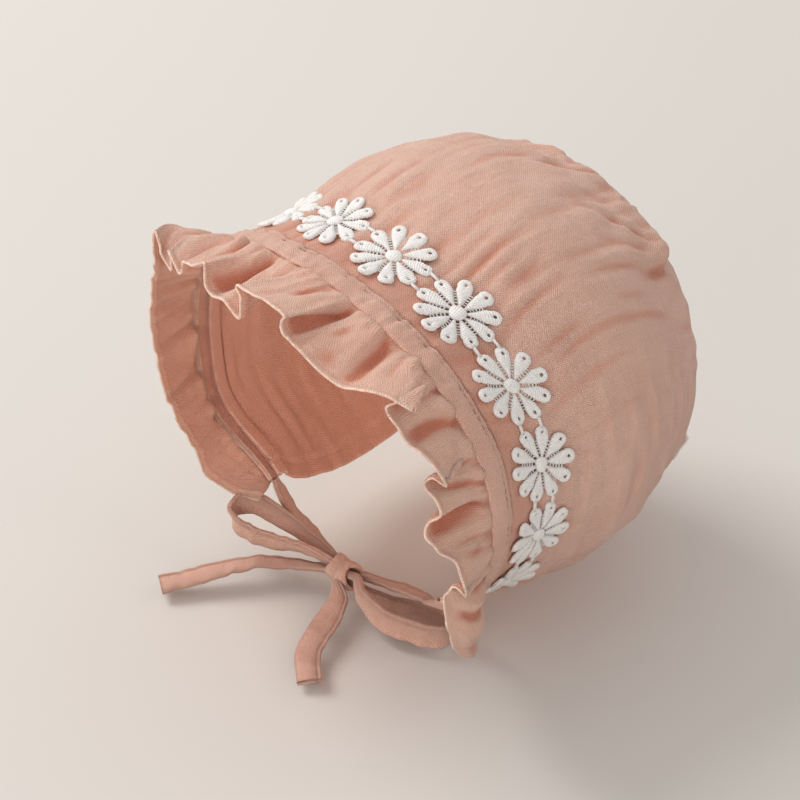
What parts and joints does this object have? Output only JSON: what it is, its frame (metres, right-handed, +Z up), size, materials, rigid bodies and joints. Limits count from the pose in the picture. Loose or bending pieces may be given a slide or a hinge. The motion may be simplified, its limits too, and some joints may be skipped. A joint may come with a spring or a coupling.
{
  "type": "baby lace hat",
  "caption": "Baby bonnet of pink double gauze with a gathered ruffle brim, white daisy lace trim and tape ties tied in a bow, shaped as worn on a head.",
  "frame": {"origin": "inside top of the crown, where the hat sits on the head", "axes": "+X to the wearer's left, +Y to the back of the head, +Z up; the face looks along -Y"},
  "size_m": [0.1489, 0.1632, 0.1411],
  "materials": {
    "muslin_pink": "crinkled double gauze, matt",
    "lace_white": "satin-stitched guipure lace",
    "label_ivory": "plain woven tape, bare"
  },
  "bodies": {
    "root": {"crown": "muslin_pink", "back_panel": "muslin_pink", "front_band": "muslin_pink", "ruffle": "muslin_pink", "daisy_lace": "lace_white", "label_tab": "label_ivory", "tie_strap_left": "muslin_pink", "tie_strap_right": "muslin_pink", "bow_loop_left": "muslin_pink", "bow_loop_right": "muslin_pink", "tie_end_left": "muslin_pink", "tie_end_right": "muslin_pink", "bow_knot": "muslin_pink"}
  },
  "joints": []
}
